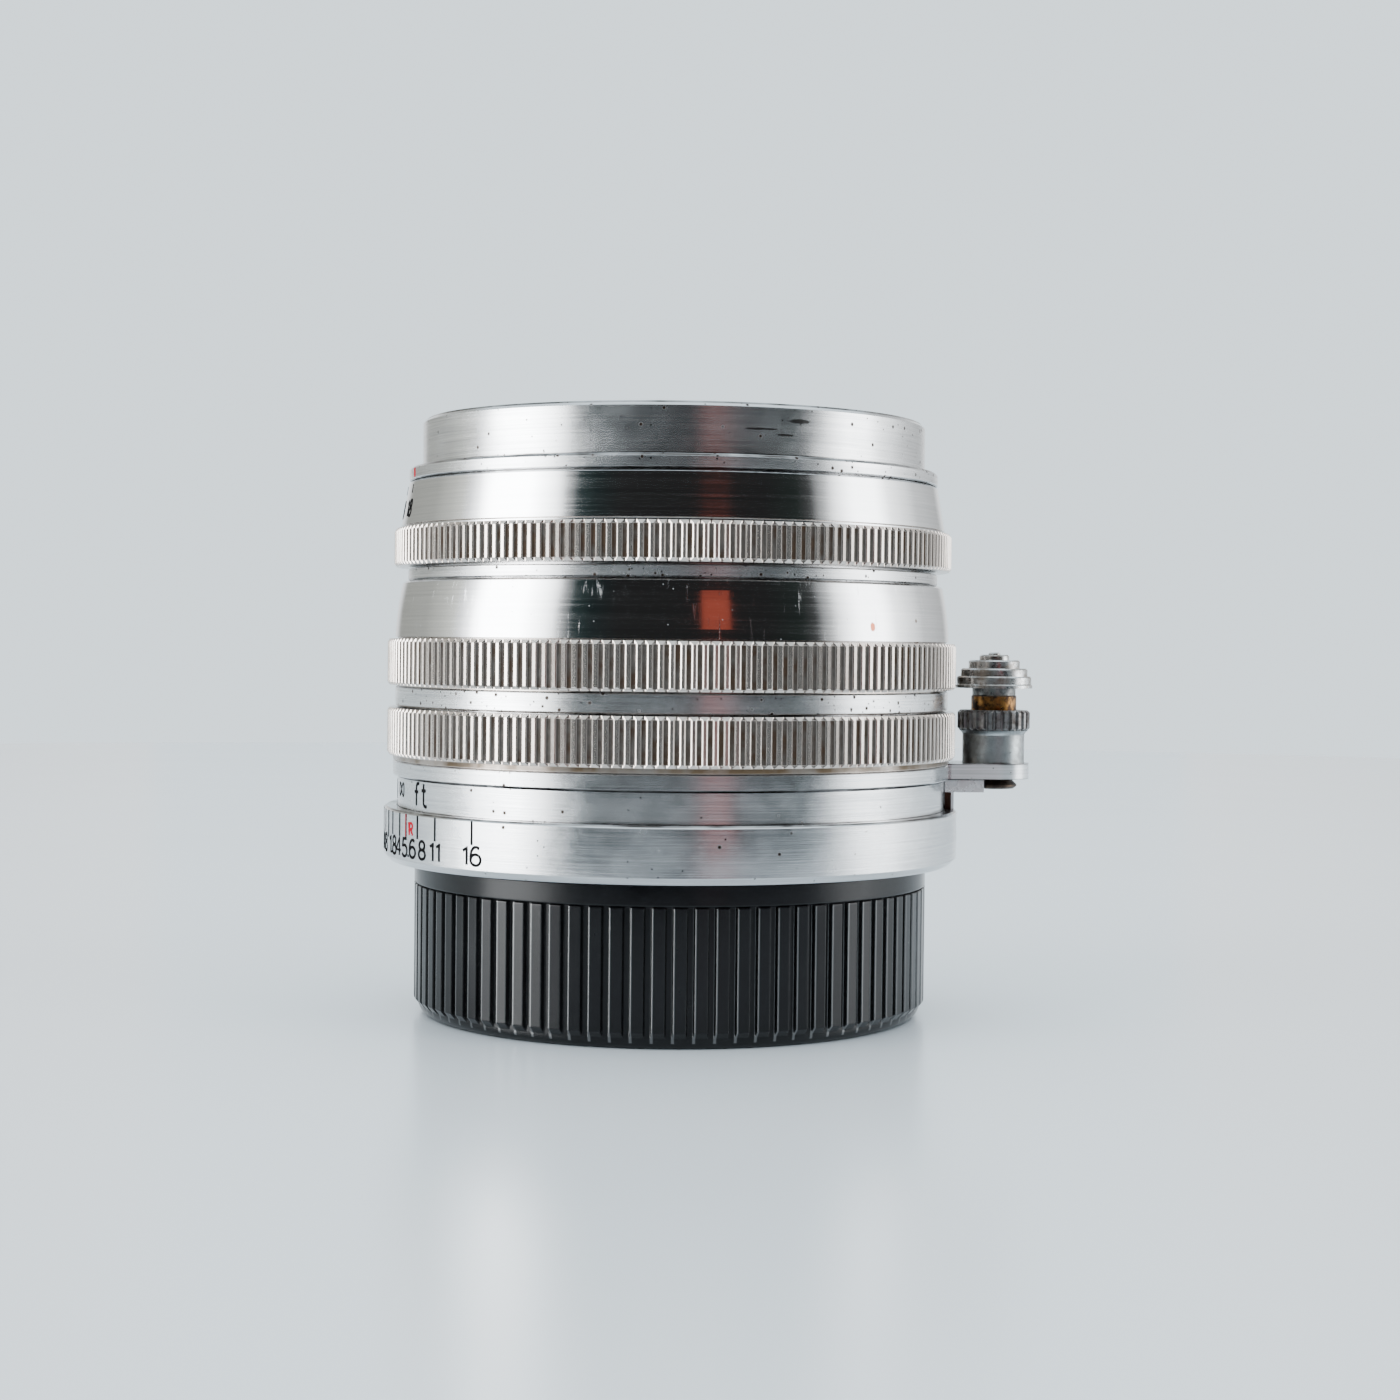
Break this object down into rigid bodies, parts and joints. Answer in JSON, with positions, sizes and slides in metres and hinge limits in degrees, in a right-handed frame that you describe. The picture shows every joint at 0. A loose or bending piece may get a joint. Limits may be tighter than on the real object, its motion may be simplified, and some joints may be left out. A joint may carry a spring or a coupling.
{
  "type": "prime camera lens",
  "caption": "Compact screw-mount prime camera lens with knurled focus and aperture rings and an infinity-lock button, standing on its ribbed rear cap.",
  "frame": {"origin": "centre of the rear cap's underside, on the optical axis", "axes": "+Z along the optical axis to the front rim, +X to the infinity-lock post, -Y to the viewer's side"},
  "size_m": [0.0544, 0.048, 0.0492],
  "materials": {
    "satin_chrome": "satin, finely turned",
    "polished_chrome": "polished",
    "steel": "brushed",
    "brass": "machined",
    "mount_chrome": "satin",
    "black_enamel": "semi-gloss black",
    "blade_steel": "blued",
    "glass": "coated",
    "cap_plastic": "semi-gloss black"
  },
  "bodies": {
    "mount": {"mount_barrel": "mount_chrome", "depth_scale_ring": "satin_chrome", "depth_ring_screws": "steel", "lock_catch": "steel", "catch_screws": "steel", "guide_keys": "brass", "guide_key_screws": "steel", "focus_retaining_ring": "brass", "focus_stop_pin": "steel"},
    "focus_ring": {"focus_helicoid": "brass", "distance_scale_ring": "satin_chrome", "lock_arm": "satin_chrome", "arm_screws": "steel", "focus_grip_ring": "satin_chrome", "grip_ring_screws": "steel", "lock_post": "polished_chrome", "lock_collar": "steel", "lock_spring": "steel"},
    "lock_button": {"button_cap": "polished_chrome", "button_stem": "polished_chrome", "lock_pin_head": "steel"},
    "lens_head": {"inner_helicoid": "brass", "rangefinder_cam": "brass", "head_skirt": "satin_chrome", "head_grip_ring": "satin_chrome", "head_cone": "polished_chrome", "aperture_seat_ring": "satin_chrome", "head_barrel": "mount_chrome", "index_ring": "satin_chrome", "index_ring_screws": "steel", "filter_ring": "satin_chrome", "name_ring": "black_enamel", "front_cell": "black_enamel", "front_retainer": "black_enamel", "element_1": "glass", "element_2": "glass", "element_3": "glass", "element_4": "glass", "element_5": "glass", "element_6": "glass", "rear_cell": "black_enamel", "rear_retainer": "black_enamel", "iris_housing": "black_enamel", "iris_lock_ring": "black_enamel"},
    "aperture_ring": {"aperture_ring": "satin_chrome", "iris_rotor": "black_enamel", "aperture_link_screw": "steel"},
    "rear_cap": {"rear_cap": "cap_plastic"},
    "blade_01": {"iris_blade_01": "blade_steel"},
    "blade_02": {"iris_blade_02": "blade_steel"},
    "blade_03": {"iris_blade_03": "blade_steel"},
    "blade_04": {"iris_blade_04": "blade_steel"},
    "blade_05": {"iris_blade_05": "blade_steel"},
    "blade_06": {"iris_blade_06": "blade_steel"},
    "blade_07": {"iris_blade_07": "blade_steel"},
    "blade_08": {"iris_blade_08": "blade_steel"},
    "blade_09": {"iris_blade_09": "blade_steel"},
    "blade_10": {"iris_blade_10": "blade_steel"}
  },
  "joints": [
    {"name": "focus_turn", "type": "hinge", "parent": "mount", "child": "focus_ring", "pos_m": [0, 0, 0.02], "axis": [0, 0, 1], "range_deg": [0, 190.01]},
    {"name": "head_slide", "type": "slide", "parent": "mount", "child": "lens_head", "axis": [0, 0, 1], "range_m": [0, 0.00285]},
    {"name": "lock_press", "type": "slide", "parent": "focus_ring", "child": "lock_button", "axis": [0, 0, -1], "range_m": [0, 0.0015], "stiffness_N_per_m": 300, "springref_m": -0.001, "deforming": ["lock_spring"]},
    {"name": "aperture_turn", "type": "hinge", "parent": "lens_head", "child": "aperture_ring", "pos_m": [0, 0, 0.04], "axis": [0, 0, 1], "range_deg": [0, 54]},
    {"name": "cap_off", "type": "slide", "parent": "mount", "child": "rear_cap", "axis": [0, 0, -1], "range_m": [0, 0.014]},
    {"name": "blade_01_turn", "type": "hinge", "parent": "lens_head", "child": "blade_01", "pos_m": [0.0166, 0, 0.034], "axis": [0, 0, 1], "range_deg": [0, 37.5]},
    {"name": "blade_02_turn", "type": "hinge", "parent": "lens_head", "child": "blade_02", "pos_m": [0.01343, 0.00976, 0.034], "axis": [0, 0, 1], "range_deg": [0, 37.5]},
    {"name": "blade_03_turn", "type": "hinge", "parent": "lens_head", "child": "blade_03", "pos_m": [0.00513, 0.01579, 0.034], "axis": [0, 0, 1], "range_deg": [0, 37.5]},
    {"name": "blade_04_turn", "type": "hinge", "parent": "lens_head", "child": "blade_04", "pos_m": [-0.00513, 0.01579, 0.034], "axis": [0, 0, 1], "range_deg": [0, 37.5]},
    {"name": "blade_05_turn", "type": "hinge", "parent": "lens_head", "child": "blade_05", "pos_m": [-0.01343, 0.00976, 0.034], "axis": [0, 0, 1], "range_deg": [0, 37.5]},
    {"name": "blade_06_turn", "type": "hinge", "parent": "lens_head", "child": "blade_06", "pos_m": [-0.0166, 0, 0.034], "axis": [0, 0, 1], "range_deg": [0, 37.5]},
    {"name": "blade_07_turn", "type": "hinge", "parent": "lens_head", "child": "blade_07", "pos_m": [-0.01343, -0.00976, 0.034], "axis": [0, 0, 1], "range_deg": [0, 37.5]},
    {"name": "blade_08_turn", "type": "hinge", "parent": "lens_head", "child": "blade_08", "pos_m": [-0.00513, -0.01579, 0.034], "axis": [0, 0, 1], "range_deg": [0, 37.5]},
    {"name": "blade_09_turn", "type": "hinge", "parent": "lens_head", "child": "blade_09", "pos_m": [0.00513, -0.01579, 0.034], "axis": [0, 0, 1], "range_deg": [0, 37.5]},
    {"name": "blade_10_turn", "type": "hinge", "parent": "lens_head", "child": "blade_10", "pos_m": [0.01343, -0.00976, 0.034], "axis": [0, 0, 1], "range_deg": [0, 37.5]}
  ],
  "couplings": [
    {"joint": "focus_turn", "follows": "head_slide", "rad_per_m": 1163.6},
    {"joint": "blade_01_turn", "follows": "aperture_turn", "ratio": 0.69444},
    {"joint": "blade_02_turn", "follows": "aperture_turn", "ratio": 0.69444},
    {"joint": "blade_03_turn", "follows": "aperture_turn", "ratio": 0.69444},
    {"joint": "blade_04_turn", "follows": "aperture_turn", "ratio": 0.69444},
    {"joint": "blade_05_turn", "follows": "aperture_turn", "ratio": 0.69444},
    {"joint": "blade_06_turn", "follows": "aperture_turn", "ratio": 0.69444},
    {"joint": "blade_07_turn", "follows": "aperture_turn", "ratio": 0.69444},
    {"joint": "blade_08_turn", "follows": "aperture_turn", "ratio": 0.69444},
    {"joint": "blade_09_turn", "follows": "aperture_turn", "ratio": 0.69444},
    {"joint": "blade_10_turn", "follows": "aperture_turn", "ratio": 0.69444}
  ]
}
